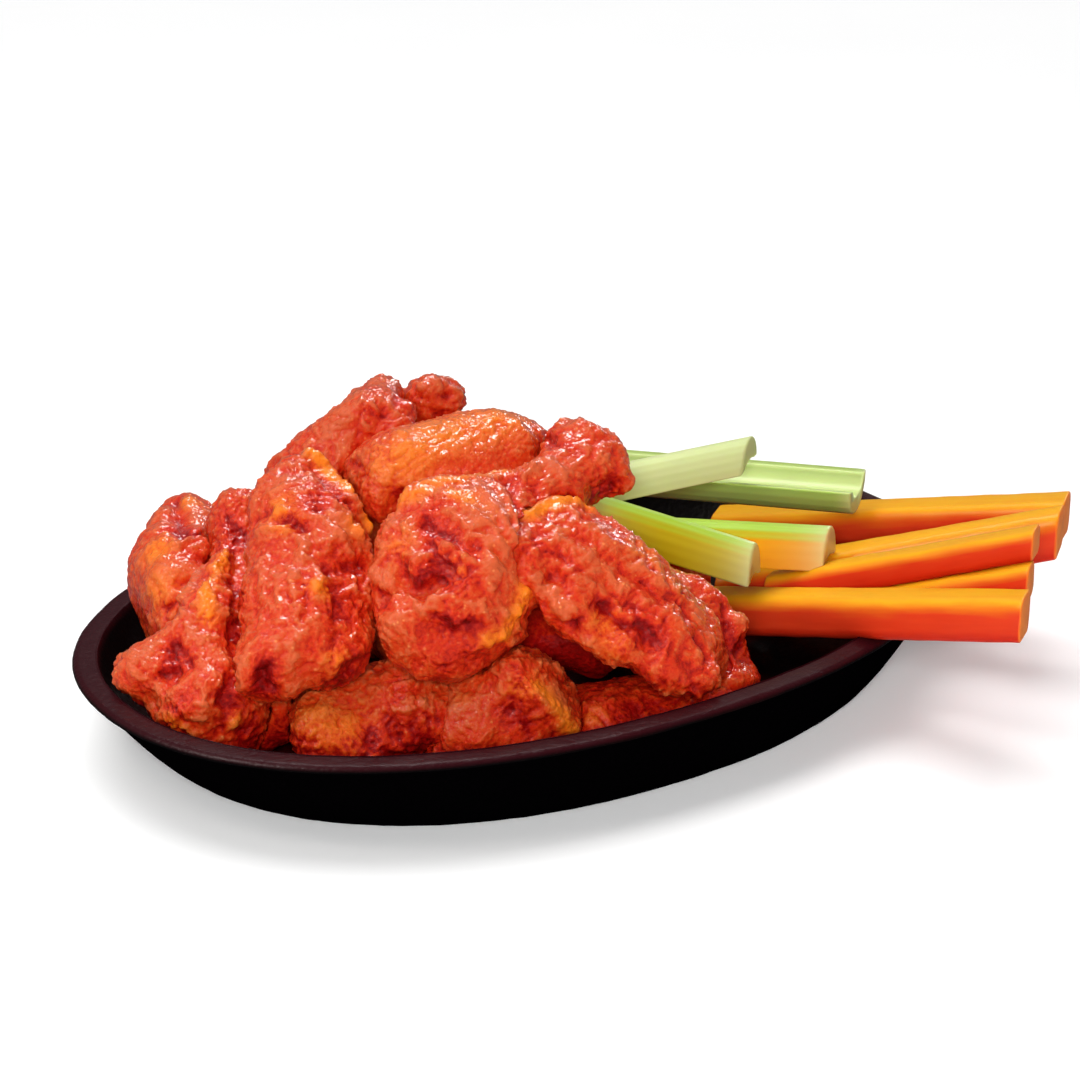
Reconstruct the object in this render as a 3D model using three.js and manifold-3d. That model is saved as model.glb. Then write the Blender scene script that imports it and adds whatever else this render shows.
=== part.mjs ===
// A serving of sauced chicken wings with celery and carrot sticks, on an oval cast iron platter.
// Millimetres, +Z up. The origin is the middle of the platter's foot, and X runs along the platter.
import * as THREE from "three";
import { mergeVertices } from "three/addons/utils/BufferGeometryUtils.js";
import Module from "manifold-3d";

const wasm = await Module();
wasm.setup();

// ---- Driving dimensions ------------------------------------------------------------------

const PLATTER = {
  length: 250,
  width: 171,
  height: 24,
  floor: 5, // thickness of the floor
  squareness: 2.15, // exponent of the oval: 2 is an ellipse, more is squarer
  endSlope: 1.5, // how much further in than its profile the wall runs at the two ends
  sideSlope: 0.75, // and along the two sides
  segments: 64,
};
const CLEARANCE = 0.3; // between pieces that touch
const CUTTER = CLEARANCE * 1.4; // a cutter's flat facets lie inside its true skin, so it grows by more

// The skin of a wing.
const SKIN = {
  web: 5, // radius that fills the crease between two muscles
  rings: 8, // round the bones
  capRings: 3, // more at each end
  sides: 12,
  reach: 45, // the furthest that the skin lies from the axis
  stride: 1.5, // of the search for the skin
};
const LUMPS = { waves: 7, length: [18, 34], height: [0.3, 0.6] };

const STICK = { sides: 10, stations: 6 };
const CUT_FACES = [0.6, -0.8, 0]; // the sticks are cut on the bias, and their ends all face this way
const BATON_CORNER = 0.62; // 1 is a round stick, towards 0 a square one
const STALK_HOLLOW = { width: 0.6, steps: 6 }; // width is a share of the stalk's own

// ---- Shared helpers ----------------------------------------------------------------------

const point = (p) => new THREE.Vector3(...p);
const mix = THREE.MathUtils.lerp;

// A closed surface through rings of points, each ring counterclockwise seen from its next one.
// The ends are closed by the triangles of lid, or by a fan round the middle of the end ring.
function loft(rings, lid) {
  const sides = rings[0].length;
  const vertices = rings.flat();
  const faces = [];
  for (let r = 0; r + 1 < rings.length; r++) {
    for (let s = 0; s < sides; s++) {
      const a = r * sides + s;
      const b = r * sides + ((s + 1) % sides);
      faces.push(a, b, b + sides, a, b + sides, a + sides);
    }
  }
  const top = (rings.length - 1) * sides;
  if (lid) {
    for (const [a, b, c] of lid) faces.push(a, c, b, top + a, top + b, top + c);
  } else {
    const first = vertices.push(middle(rings[0])) - 1;
    const last = vertices.push(middle(rings.at(-1))) - 1;
    for (let s = 0; s < sides; s++) {
      const next = (s + 1) % sides;
      faces.push(first, next, s);
      faces.push(last, top + s, top + next);
    }
  }
  const geometry = new THREE.BufferGeometry().setFromPoints(vertices);
  geometry.setIndex(faces);
  return geometry;
}

function middle(ring) {
  const sum = ring.reduce((total, p) => total.add(p), new THREE.Vector3());
  return sum.divideScalar(ring.length);
}

function solidOf(geometry) {
  const merged = mergeVertices(geometry, 1e-4);
  return new wasm.Manifold(
    new wasm.Mesh({
      numProp: 3,
      vertProperties: new Float32Array(merged.attributes.position.array),
      triVerts: new Uint32Array(merged.index.array),
    }),
  );
}

function geometryOf(solid) {
  const mesh = solid.getMesh();
  const geometry = new THREE.BufferGeometry();
  geometry.setAttribute("position", new THREE.BufferAttribute(mesh.vertProperties, 3));
  geometry.setIndex(new THREE.BufferAttribute(mesh.triVerts, 1));
  return geometry;
}

// The frame of a long piece: X from its start to its end, Z as near up as that allows, then
// rolled about X.
function frameOf({ from, to, roll = 0 }) {
  const start = point(from);
  const end = point(to);
  const x = end.clone().sub(start).normalize();
  const y = new THREE.Vector3(0, 0, 1).cross(x).normalize();
  const z = x.clone().cross(y);
  const frame = new THREE.Matrix4().makeBasis(x, y, z);
  frame.multiply(new THREE.Matrix4().makeRotationX(THREE.MathUtils.degToRad(roll)));
  frame.setPosition(start.add(end).divideScalar(2));
  return { frame, span: point(from).distanceTo(point(to)) };
}

// ---- Platter -----------------------------------------------------------------------------

// The oval, raised to z and drawn in from the rim's outer edge at its ends and its sides.
function oval(z, atEnds, atSides = atEnds) {
  const ring = [];
  const power = 2 / PLATTER.squareness;
  for (let i = 0; i < PLATTER.segments; i++) {
    const angle = (i / PLATTER.segments) * 2 * Math.PI;
    const x = Math.sign(Math.cos(angle)) * Math.abs(Math.cos(angle)) ** power;
    const y = Math.sign(Math.sin(angle)) * Math.abs(Math.sin(angle)) ** power;
    ring.push(
      new THREE.Vector3(x * (PLATTER.length / 2 - atEnds), y * (PLATTER.width / 2 - atSides), z),
    );
  }
  return ring;
}

// The dish, from the foot up the outside, over the rim and down to the floor. Its profile is a
// list of [how far in from the rim's outer edge, how high]. Grow thickens it on the inside, for
// cutting what lies in the dish.
function platter(grow = 0) {
  const { height, floor, endSlope, sideSlope } = PLATTER;
  const outside = [
    [16, 0], // the edge of the foot
    [12.5, 2],
    [7.5, height * 0.4],
    [2.6, height * 0.79],
    [0.5, height - 2.4],
  ];
  const rim = [
    [0, height - 1.4], // its outer edge
    [0.6, height - 0.7],
    [5.6, height],
  ];
  const inside = [
    [6.6, height - 0.5], // the rim's inner edge
    [10.5, height * 0.62],
    [14.5, height * 0.36],
    [19, floor + 0.8],
    [26, floor],
  ];
  const step = grow * 0.8; // inwards and upwards at once
  return loft([
    ...outside.map(([inset, z]) => oval(z, inset * endSlope, inset * sideSlope)),
    ...rim.map(([inset, z]) => oval(z, inset)),
    ...inside.map(([inset, z]) => oval(z + step, inset + step)),
  ]);
}

// ---- Wings -------------------------------------------------------------------------------

// Each form is a soft union of tapered round bars, from [along, across, up, radius] to the
// same. Along is a fraction of the piece's span; the rest are millimetres.
const FORMS = {
  drumette: [
    [[-0.5, 0, 0, 16], [-0.2, 1, 1, 17]], // the thick meat
    [[-0.2, 0, 0, 15], [0.32, 0, 0, 8.5]], // the meat thinning down the bone
    [[0.3, 0, 0, 8], [0.5, 0, 0, 7]],
    [[0.5, 5, 0, 7.5], [0.5, 5, 0, 7.5]], // the two knuckles
    [[0.5, -5, 0, 7], [0.5, -5, 0, 7]],
  ],
  flat: [
    [[-0.5, 8, 0, 9], [0.5, 7, 0, 8]], // the thicker bone
    [[-0.5, -8, 0, 9], [0.5, -7, 0, 8]], // the thinner bone
    [[-0.35, 0, 2, 11], [0.3, 0, 2, 10]], // the meat between them
    [[-0.3, -14, -2, 6], [0.3, -13, -2, 5]], // the fold of skin along one edge
  ],
  peaked: [
    [[-0.5, 8, 0, 9], [0.36, 7, 0, 8]], // the thicker bone
    [[0.36, 7, 0, 8], [0.57, 2, 0, 7.5]], // and its joint, leaning over
    [[-0.5, -8, 0, 9], [0.34, -7, 0, 8]], // the thinner bone
    [[-0.35, 0, 2, 11], [0.3, 0, 2, 10]],
    [[-0.3, -14, -2, 6], [0.15, -13, -2, 5]],
  ],
};

// The wings from the front of the heap to the back. A wing gives way to those before it. Extra
// bars are the lobes that only that wing has.
const WINGS = [
  { name: "front_left", form: "peaked", from: [-82, -24, 34], to: [-56, 16, 61], wide: 1.02 },
  {
    name: "front_right",
    form: "flat",
    from: [-21, -31, 55],
    to: [6, -66, 27],
    wide: 1.15,
    roll: -10,
    extra: [[[-0.36, 2.5, 8, 8.5], [0.1, 2.3, 7.8, 8.5]]],
  },
  {
    name: "front_middle",
    form: "drumette",
    from: [-49, -35, 44],
    to: [5, -18, 68],
    wide: 1.05,
    extra: [
      [[-0.55, -4, -5, 11], [-0.4, -12, -6, 9]],
      [[-0.15, -14, -3, 8], [0.05, -8, -2, 9]],
      [[-0.45, 9, 8, 9.5], [-0.27, 10.5, 10.5, 10.5]],
      [[-0.27, 10.5, 10.5, 10.5], [-0.1, 9, 9, 10.5]],
      [[0.42, -4, -3, 7], [0.46, -5, -6, 6]],
    ],
  },
  {
    name: "left_leaning",
    form: "drumette",
    from: [-98, -7, 22],
    to: [-66, 36, 46],
    wide: 0.76,
    extra: [[[-0.41, 24.5, 3, 8.3], [-0.4, 8, 0, 11]], [[-0.64, -8, -3, 8], [-0.4, -8, 0, 10]]],
  },
  {
    name: "left_back",
    form: "drumette",
    from: [-84, 29, 28],
    to: [-69, 58, 38],
    wide: 0.87,
    extra: [
      [[0, 9.3, -0.5, 9.5], [0.37, 7.6, -0.4, 9]],
      [[0.5, 5, 0, 6], [0.71, 6.2, -0.3, 4.2]],
      [[0.5, 0, 0, 6], [0.75, 0.6, 0, 4.5]],
    ],
  },
  { name: "top", form: "flat", from: [-38, 9, 61.5], to: [-2, 3, 65.5], thick: 0.9 },
  {
    name: "top_left",
    form: "flat",
    from: [-48, 34, 53],
    to: [-23, 33, 70.5],
    wide: 0.9,
    thick: 0.78,
    extra: [[[0.3, 2, 2, 7], [0.55, 2.5, 3.5, 5.2]]],
  },
  {
    name: "top_back",
    form: "drumette",
    from: [-23, 48, 42],
    to: [-7, 36.5, 70],
    wide: 0.75,
    extra: [[[0.4, 0, -2, 6], [0.62, -1, -5, 4.5]]],
  },
  {
    name: "right",
    form: "flat",
    from: [13, -40, 31],
    to: [19, -60, 15],
    wide: 0.8,
    extra: [[[-0.1, 8, 8, 6], [0.18, 8, 8, 5.8]]],
  },
  { name: "low_left", form: "flat", from: [-76, -23, 15], to: [-48, -33, 18], wide: 0.9 },
  { name: "low_middle", form: "drumette", from: [-42, -45, 16], to: [-28, -50, 17], wide: 0.9 },
  { name: "low_right", form: "flat", from: [-19, -50, 9], to: [17, -63, 11], thick: 0.85 },
  { name: "inner_right", form: "flat", from: [-14, -36, 25], to: [0, -9, 37] },
  { name: "inner_left", form: "flat", from: [-81, -12, 15], to: [-60, 17, 31] },
  { name: "under_back", form: "drumette", from: [-52, 44, 22], to: [-8, 40, 22] },
  { name: "under_middle", form: "flat", from: [-40, 4, 20], to: [4, 12, 20] },
  { name: "second_back", form: "flat", from: [-44, 26, 42], to: [-2, 22, 44] },
  { name: "under_right", form: "flat", from: [14, 10, 20], to: [50, 0, 18] },
  { name: "back_right", form: "drumette", from: [10, 42, 20], to: [52, 36, 18] },
];

// Soft lumps of the breading: waves in directions drawn from the piece's own seed.
function lumps(seed) {
  const random = randomFrom(seed);
  const waves = Array.from({ length: LUMPS.waves }, () => ({
    way: new THREE.Vector3(random() - 0.5, random() - 0.5, random() - 0.5).setLength(
      (2 * Math.PI) / mix(...LUMPS.length, random()),
    ),
    phase: random() * 2 * Math.PI,
    height: mix(...LUMPS.height, random()),
  }));
  return (p) =>
    waves.reduce((sum, wave) => sum + wave.height * Math.sin(p.dot(wave.way) + wave.phase), 0);
}

function randomFrom(seed) {
  let state = seed >>> 0;
  return () => {
    state = (Math.imul(state, 1664525) + 1013904223) >>> 0;
    return state / 2 ** 32;
  };
}

// How far p is outside the meat, below zero inside it.
function meat(bars, { span, wide = 1, thick = 1 }, lump) {
  const axis = new THREE.Vector3();
  const reach = new THREE.Vector3();
  return (spot) => {
    let depth = Infinity;
    const p = spot.clone();
    p.y /= wide;
    p.z /= thick;
    for (const [a, b] of bars) {
      axis.set((b[0] - a[0]) * span, b[1] - a[1], b[2] - a[2]);
      reach.set(p.x - a[0] * span, p.y - a[1], p.z - a[2]);
      const along = THREE.MathUtils.clamp(reach.dot(axis) / (axis.lengthSq() || 1), 0, 1);
      const far = reach.addScaledVector(axis, -along).length() - mix(a[3], b[3], along);
      const blend = Math.max(SKIN.web - Math.abs(depth - far), 0) / SKIN.web;
      depth = Math.min(depth, far) - (blend * blend * SKIN.web) / 4;
    }
    return depth - lump(spot);
  };
}

// The skin of a wing, found along rays from its axis. Grow moves the skin outwards.
function wing(piece, grow = 0) {
  const { form, span, seed, extra = [] } = piece;
  const { rings, capRings, sides } = SKIN;
  const outside = meat([...FORMS[form], ...extra], piece, lumps(seed));
  const skin = [];
  const last = rings + 2 * capRings - 1;
  for (let r = 0; r <= last; r++) {
    const past = r < capRings ? r - capRings : Math.max(0, r - (last - capRings)); // the axis's ends
    const tilt = (past / (capRings + 0.45)) * (Math.PI / 2);
    const along = THREE.MathUtils.clamp((r - capRings) / (rings - 1), 0, 1);
    const base = new THREE.Vector3((along - 0.5) * span, 0, 0);
    const ring = [];
    for (let s = 0; s < sides; s++) {
      const angle = ((s + (r % 2) / 2) / sides) * 2 * Math.PI;
      const way = new THREE.Vector3(
        Math.sin(tilt),
        Math.cos(tilt) * Math.cos(angle),
        Math.cos(tilt) * Math.sin(angle),
      );
      ring.push(surfaceAlong(outside, base, way, grow));
    }
    skin.push(ring);
  }
  return loft(skin);
}

// The outermost point of the skin along a ray: a walk inwards, then halving the last stride.
function surfaceAlong(outside, base, way, grow) {
  const p = new THREE.Vector3();
  const at = (distance) => outside(p.copy(base).addScaledVector(way, distance)) - grow;
  let near = SKIN.reach;
  while (near > 2 && at(near) > 0) near -= SKIN.stride;
  let far = near + SKIN.stride;
  for (let i = 0; i < 8; i++) {
    const half = (near + far) / 2;
    if (at(half) > 0) far = half;
    else near = half;
  }
  return base.clone().addScaledVector(way, near);
}

// ---- Sticks ------------------------------------------------------------------------------

// Each stick lies from its hidden end to its cut end. Wide is across and thick is up, in mm, and
// hollow is the depth of a stalk's channel as a share of thick.
const CARROTS = [
  { name: "front", from: [48, -14, 12], to: [71.5, -114.5, 41.5], wide: 14, thick: 11.5 },
  { name: "middle", from: [61, -6, 12], to: [121, -76, 39.5], wide: 13, thick: 12.5 },
  { name: "back", from: [88, 31, 12], to: [131, -68, 39], wide: 15, thick: 11.5 },
  { name: "near_low", from: [66, -36, 13.5], to: [87, -100, 42], wide: 11, thick: 9.5 },
  { name: "upper", from: [63, -25, 19], to: [92, -96, 50], wide: 11, thick: 8 },
];
const CELERY = [
  { name: "long", from: [38, 47, 36], to: [98, -20, 36.5], wide: 20, thick: 9, hollow: 0.45 },
  {
    name: "top",
    from: [8, 7, 48],
    to: [72, -4, 50.5],
    wide: 12,
    thick: 8,
    roll: 180,
    hollow: 0.15,
  },
  {
    name: "low",
    from: [25, -4, 37],
    to: [74, -37, 33.5],
    wide: 15,
    thick: 10,
    roll: 180,
    hollow: 0.15,
  },
  {
    name: "front",
    from: [15, -7, 47],
    to: [49, -36, 34],
    wide: 13,
    thick: 10,
    roll: 180,
    hollow: 0.15,
  },
];

// A carrot baton: four cut faces with worn corners.
function batonSection({ wide, thick }, grow) {
  const section = [];
  const side = (unit) => Math.sign(unit) * Math.abs(unit) ** BATON_CORNER;
  for (let s = 0; s < STICK.sides; s++) {
    const angle = (s / STICK.sides) * 2 * Math.PI;
    section.push([
      side(Math.cos(angle)) * (wide / 2 + grow),
      side(Math.sin(angle)) * (thick / 2 + grow),
    ]);
  }
  return section;
}

// A celery stalk: a thick channel, open upwards. Grown, its hollow is all but filled, to keep
// its neighbours out.
function channelSection({ wide, thick, hollow }, grow) {
  const { width, steps } = STALK_HOLLOW;
  const depth = grow > 0 ? 0.05 : hollow;
  const top = thick / 2 + grow;
  const outer = [];
  const inner = [];
  for (let i = 0; i <= steps; i++) {
    const angle = Math.PI * (1 + i / steps);
    const across = Math.cos(angle);
    const down = Math.sin(angle);
    outer.push([across * (wide / 2 + grow), top + down * (thick + 2 * grow)]);
    if (i > 0 && i < steps) {
      inner.unshift([(across * wide * width) / 2, top + down * thick * depth]);
    }
  }
  return [...outer, ...inner];
}

// A section carried along the stick, with both ends cut on the bias.
function stick(piece, sectionOf, grow = 0) {
  const section = sectionOf(piece, grow);
  const cut = point(CUT_FACES).transformDirection(frameOf(piece).frame.invert());
  const rings = [];
  for (let i = 0; i < STICK.stations; i++) {
    const x = (i / (STICK.stations - 1) - 0.5) * (piece.span + 2 * grow);
    rings.push(
      section.map(([y, z]) => new THREE.Vector3(x - (y * cut.y + z * cut.z) / cut.x, y, z)),
    );
  }
  const outline = section.map(([y, z]) => new THREE.Vector2(y, z));
  return loft(rings, THREE.ShapeUtils.triangulateShape(outline, []));
}

// ---- Putting it together -----------------------------------------------------------------

const serving = new THREE.Group();
const iron = new THREE.MeshStandardMaterial({ color: 0x1c1517, roughness: 0.5, metalness: 0.4 });
const platterMesh = new THREE.Mesh(platter(), iron);
platterMesh.name = "platter";
serving.add(platterMesh);

// Cuts away from a piece what the platter and the pieces before it fill, and keeps the largest
// part that is left.
function fitted(geometry, frame, before) {
  let solid = solidOf(geometry.clone().applyMatrix4(frame));
  for (const other of before) solid = solid.subtract(other);
  const parts = solid.decompose().sort((a, b) => b.volume() - a.volume());
  return geometryOf(parts[0]).applyMatrix4(frame.clone().invert());
}

const inTheWay = [solidOf(platter(CLEARANCE))];

// Adds a piece to the serving. Build makes its surface, grown by a distance.
function place(name, piece, build, colour) {
  const { frame, span } = frameOf(piece);
  const shape = { ...piece, span };
  const material = new THREE.MeshStandardMaterial({ color: colour, roughness: 0.4 });
  const mesh = new THREE.Mesh(fitted(build(shape, 0), frame, inTheWay), material);
  mesh.name = name;
  mesh.applyMatrix4(frame);
  serving.add(mesh);
  inTheWay.push(solidOf(build(shape, CUTTER).applyMatrix4(frame)));
}

for (const piece of CARROTS) {
  place("carrot_" + piece.name, piece, (p, grow) => stick(p, batonSection, grow), 0xf08a1c);
}
for (const piece of CELERY) {
  place("celery_" + piece.name, piece, (p, grow) => stick(p, channelSection, grow), 0x9fc63b);
}
WINGS.forEach((piece, i) => {
  const seeded = { seed: i * 7 + 3, ...piece };
  place("wing_" + piece.name, seeded, wing, 0xdb3d22);
});

export default serving;
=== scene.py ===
"""Sauced chicken wings with carrot and celery sticks, on an oval cast iron platter.

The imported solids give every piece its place. Here each piece gets its surface: the wings their fried
skin under hot sauce, the sticks their cut faces, and the platter its cast skin. Lengths are
millimetres unless a comment says otherwise, in the part's own frame: X along the platter, Z up.
"""
import math

import bpy
import numpy as np
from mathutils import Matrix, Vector


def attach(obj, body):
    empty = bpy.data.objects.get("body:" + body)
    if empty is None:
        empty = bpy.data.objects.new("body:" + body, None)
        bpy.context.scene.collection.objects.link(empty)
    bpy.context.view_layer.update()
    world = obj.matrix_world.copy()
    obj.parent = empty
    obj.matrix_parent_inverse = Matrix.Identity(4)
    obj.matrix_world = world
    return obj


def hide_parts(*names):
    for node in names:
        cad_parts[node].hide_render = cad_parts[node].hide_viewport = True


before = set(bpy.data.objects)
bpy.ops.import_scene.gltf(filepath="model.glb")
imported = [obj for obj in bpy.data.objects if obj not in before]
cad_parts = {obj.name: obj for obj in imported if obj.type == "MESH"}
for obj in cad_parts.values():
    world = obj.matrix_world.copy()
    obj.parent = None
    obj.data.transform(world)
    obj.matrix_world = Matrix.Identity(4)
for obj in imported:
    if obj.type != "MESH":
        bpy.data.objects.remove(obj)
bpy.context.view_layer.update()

MM = 0.001  # Blender's unit is the metre


# ---- Camera, light and floor -------------------------------------------------------------------

CAMERA_AT = (-377.1, -559.3, 318.8)
CAMERA_LOOKS_AT = (56.6, 76.5, 0)
SENSOR_WIDTH = 36
FOCAL_LENGTH = 91.67
LIGHTS_LOOK_AT = (0, 0, 40)
FLOOR_SIZE = 8000
WINDOW_AT = (-665, 90, 850)  # the main light, whose glossy half is a light of its own
CEILING_FROM = (0.1, 0.45, 1.0)  # the direction that the light from above comes from


def linear(hex_colour):
    """The linear colour that Blender's sockets take, from an sRGB hex value."""
    shares = [int(hex_colour[i : i + 2], 16) / 255 for i in (1, 3, 5)]
    return [s / 12.92 if s <= 0.04045 else ((s + 0.055) / 1.055) ** 2.4 for s in shares] + [1]


def aim_at(thing, target):
    """Turns a camera or a light to a place given in millimetres."""
    way = Vector(target) * MM - thing.location
    thing.rotation_euler = way.to_track_quat("-Z", "Y").to_euler()


def set_camera():
    data = bpy.data.cameras.new("camera")
    data.lens = FOCAL_LENGTH
    data.sensor_width = SENSOR_WIDTH
    data.clip_end = 20
    camera = bpy.data.objects.new("camera", data)
    bpy.context.collection.objects.link(camera)
    camera.location = Vector(CAMERA_AT) * MM
    aim_at(camera, CAMERA_LOOKS_AT)
    bpy.context.scene.camera = camera


def softbox(name, at, size, watts, colour="#FFFFFF"):
    """A rectangular light. Places are in millimetres, and its size is in metres."""
    data = bpy.data.lights.new(name, "AREA")
    data.shape = "RECTANGLE"
    data.size, data.size_y = size
    data.energy = watts
    data.color = linear(colour)[:3]
    light = bpy.data.objects.new(name, data)
    bpy.context.collection.objects.link(light)
    light.location = Vector(at) * MM
    aim_at(light, LIGHTS_LOOK_AT)
    return light


def set_light():
    """Soft light from above, the left and the front. The soft ones are kept out of reflections, and
    the small glint lights are seen in nothing else, so the wet sauce sparkles without a veil."""
    world = bpy.data.worlds.new("studio")
    bpy.context.scene.world = world
    world.use_nodes = True
    background = world.node_tree.nodes["Background"]
    background.inputs["Color"].default_value = linear("#F4F5FA")
    background.inputs["Strength"].default_value = 0.15
    softbox("key_left", WINDOW_AT, (0.3, 0.3), 2.0, "#FFFBF8").visible_glossy = False
    softbox("fill_front", (-540, -740, 470), (0.25, 0.25), 6.0).visible_glossy = False
    softbox("glint_left", WINDOW_AT, (0.26, 0.26), 13.0, "#FFF4F0").visible_diffuse = False
    softbox("glint_back", (350, 620, 1100), (0.5, 0.35), 8.0).visible_diffuse = False
    softbox("glint_right", (970, 560, 440), (0.14, 0.14), 1.5).visible_diffuse = False
    data = bpy.data.lights.new("ceiling", "SUN")
    data.energy = 2.3
    data.angle = math.radians(50)
    ceiling = bpy.data.objects.new("ceiling", data)
    bpy.context.collection.objects.link(ceiling)
    ceiling.rotation_euler = (-Vector(CEILING_FROM)).to_track_quat("-Z", "Y").to_euler()
    ceiling.visible_glossy = False
    bpy.context.scene.view_settings.view_transform = "Standard"


# ---- Materials ---------------------------------------------------------------------------------


def add(tree, kind, links=None, **settings):
    """Adds a shader node. Links are its inputs, each a socket or a value, and settings its own."""
    made = tree.nodes.new("ShaderNode" + kind)
    for name, value in settings.items():
        if name == "stops":
            ramp = made.color_ramp
            while len(ramp.elements) < len(value):
                ramp.elements.new(1)
            for element, (place, colour) in zip(ramp.elements, value):
                element.position = place
                element.color = linear(colour)
        else:
            setattr(made, name, value)
    for name, value in (links or {}).items():
        if isinstance(value, bpy.types.NodeSocket):
            tree.links.new(value, made.inputs[name])
        else:
            made.inputs[name].default_value = value
    return made


# How far apart the features of each pattern are. Casting sand and the fibres are finer in fact, and
# are drawn as coarse as they need to show.
SAUCE_STREAK = 9
CRUST_CRUMB = 1.1
CRUST_FLECK = 2.4
SAUCE_BEAD = 1.8
CASTING_SAND = 1.3
OIL_SKIN_CLOUD = 22
CARROT_FIBRE = 2.4
CELERY_FIBRE = 1.6
BOARD_MOTTLE = 120


def per_metre(spacing):
    """The scale of a pattern whose features are that far apart."""
    return 1 / (spacing * MM)


def new_material(name):
    """An empty material, and its tree."""
    material = bpy.data.materials.new(name)
    material.use_nodes = True
    tree = material.node_tree
    tree.nodes.clear()
    return material, tree


def finish_material(tree, shader):
    add(tree, "OutputMaterial", {"Surface": shader.outputs[0]})


def hot_sauce_on_fried_skin():
    """Deep-fried chicken skin, tossed in butter and cayenne sauce. The skin scatters light, the
    sauce lies over it as a wet coat, thin and orange on the humps and deep red in the creases. The
    colour is also painted lighter where the skin looks up, and darker in creases and on wings that
    lie in shade: painted light and painted shade."""
    material, tree = new_material("hot_sauce_on_fried_skin")
    place = add(tree, "TexCoord").outputs["Object"]
    height = add(tree, "Attribute", attribute_name="height").outputs["Fac"]
    amber = add(tree, "Attribute", attribute_name="amber").outputs["Fac"]
    normal = add(tree, "NewGeometry").outputs["Normal"]
    up = add(tree, "SeparateXYZ", {"Vector": normal}).outputs["Z"]
    streak = add(tree, "TexNoise", {"Vector": place, "Scale": per_metre(SAUCE_STREAK), "Detail": 4})
    crumb = add(tree, "TexNoise", {"Vector": place, "Scale": per_metre(CRUST_CRUMB), "Detail": 3})
    # Faces that look up are painted lighter: painted light from above, added to how thinly the sauce
    # lies.
    painted_top_light = add(tree, "Math", {0: up, 1: 0.12, 2: height}, operation="MULTIPLY_ADD")
    streaked = add(
        tree, "Math", {0: streak.outputs["Fac"], 1: 0.4, 2: painted_top_light.outputs[0]}, operation="MULTIPLY_ADD"
    )
    thinness_and_painted_light = add(
        tree,
        "Math",
        {0: crumb.outputs["Fac"], 1: 0.5, 2: streaked.outputs[0]},
        operation="MULTIPLY_ADD",
    )
    sauce = add(
        tree,
        "ValToRGB",
        {"Fac": thinness_and_painted_light.outputs[0]},
        stops=[
            (0.30, "#5C0303"),
            (0.52, "#9E0B08"),
            (0.72, "#D02B0D"),
            (0.86, "#D64216"),
            (1.00, "#D65B30"),
        ],
    )
    # Where the sauce lies thinly or is painted lit. The butter stain and the pale flecks show only
    # there.
    thin_or_painted_lit = add(tree, "MapRange", {
        "Value": thinness_and_painted_light.outputs[0],
        "From Min": 0.6,
        "From Max": 0.95,
        "To Max": 1.15,
    })
    # So the butter's orange shows on the lit crests only, partly as a painted highlight.
    speckled = add(tree, "Math", {0: amber, 1: thin_or_painted_lit.outputs[0]}, operation="MULTIPLY", use_clamp=True)
    buttered = add(
        tree,
        "Mix",
        {"Factor": speckled.outputs[0], 6: sauce.outputs["Color"], 7: linear("#FC8412")},
        data_type="RGBA",
    )
    # Pale flecks, shown only where the sauce lies thinly or is painted lit: partly crumb tips, partly
    # painted glints.
    fleck = add(tree, "TexVoronoi", {"Vector": place, "Scale": per_metre(CRUST_FLECK), "Randomness": 1})
    fleck_share = add(tree, "MapRange", {
        "Value": fleck.outputs["Distance"],
        "From Min": 0.2,
        "From Max": 0.08,
        "To Max": 0.35,
    })
    fleck_and_painted_glint = add(
        tree, "Math", {0: fleck_share.outputs[0], 1: thin_or_painted_lit.outputs[0]}, operation="MULTIPLY"
    )
    flecked = add(
        tree,
        "Mix",
        {"Factor": fleck_and_painted_glint.outputs[0], 6: buttered.outputs[2], 7: linear("#FFA45C")},
        data_type="RGBA",
    )
    pimples = add(tree, "Bump", {"Height": crumb.outputs["Fac"], "Strength": 0.8, "Distance": 0.7 * MM})
    bead = add(tree, "TexNoise", {"Vector": place, "Scale": per_metre(SAUCE_BEAD), "Detail": 1})
    beads = add(tree, "Bump", {"Height": bead.outputs["Fac"], "Strength": 1, "Distance": 0.6 * MM})
    skin = add(tree, "BsdfPrincipled", {
        "Base Color": flecked.outputs[2],
        "Roughness": 0.45,
        "Specular IOR Level": 0.12,
        "Subsurface Weight": 0.15,
        "Subsurface Radius": (1.0, 0.2, 0.1),
        "Subsurface Scale": 1.5 * MM,
        "Coat Weight": 1.0,
        "Coat Roughness": 0.04,
        "Coat IOR": 1.45,
        "Normal": pimples.outputs[0],
        "Coat Normal": beads.outputs[0],
    })
    finish_material(tree, skin)
    return material


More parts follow.
